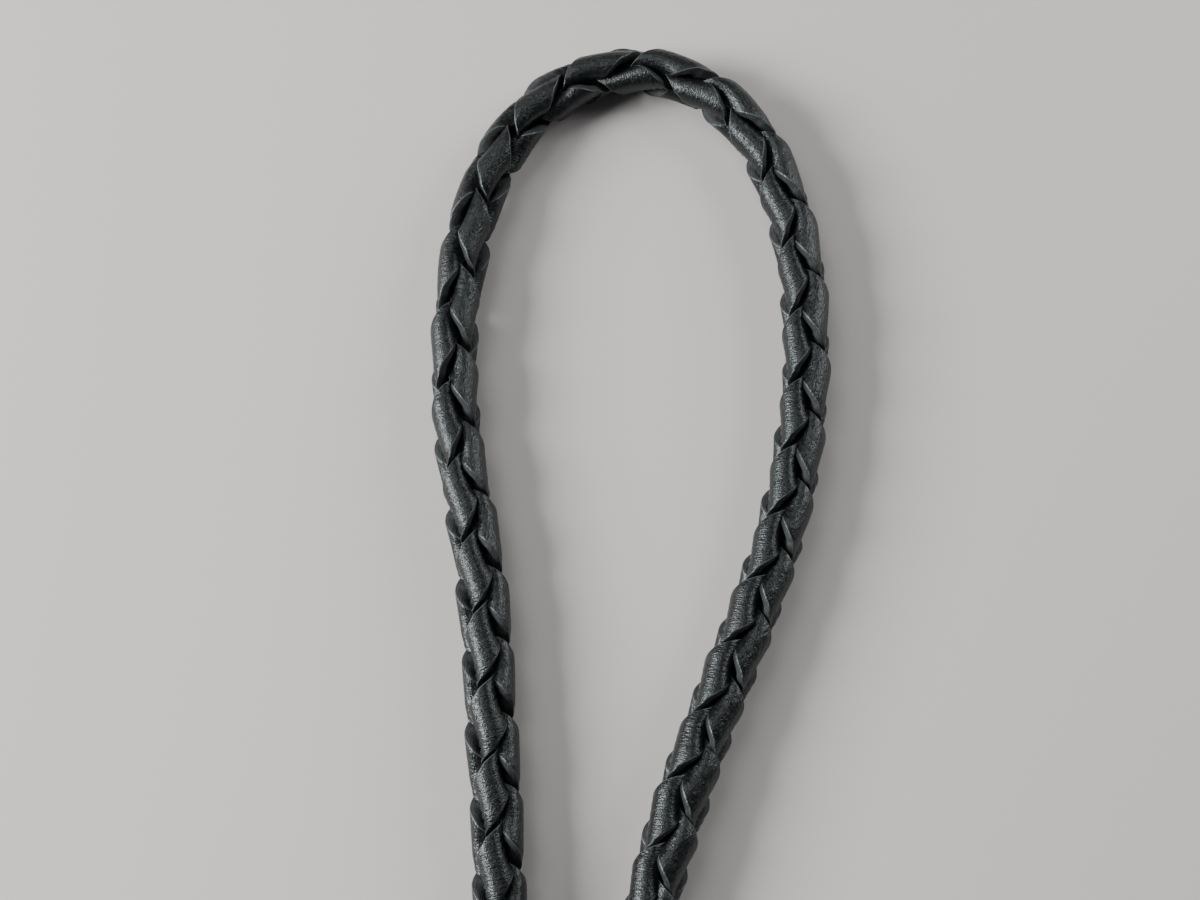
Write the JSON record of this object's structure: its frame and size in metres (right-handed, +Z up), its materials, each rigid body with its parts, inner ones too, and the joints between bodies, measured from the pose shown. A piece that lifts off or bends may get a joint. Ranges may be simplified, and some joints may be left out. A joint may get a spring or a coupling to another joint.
{
  "type": "bolo tie",
  "caption": "Plaited leather cord doubled into a neck loop, its legs running through a plain oval slide and ending in metal tips.",
  "frame": {"origin": "middle of the slide's flat underside, on the surface that the tie lies on", "axes": "+Z up, out of the slide's face; +Y along the tie from the slide to the neck loop; -Y to the tips; +X to the right of the slide seen from its face"},
  "size_m": [0.045, 0.4838, 0.0116],
  "materials": {
    "leather_cord": "black-dyed leather laces, satin, finely grained, with paler cut edges",
    "slide_metal": "plain nickel-plated metal, softly polished",
    "tip_metal": "plain nickel-plated metal, softly polished"
  },
  "bodies": {
    "root": {"cord": "leather_cord", "slide": "slide_metal", "tip_left": "tip_metal", "tip_right": "tip_metal"}
  },
  "joints": []
}
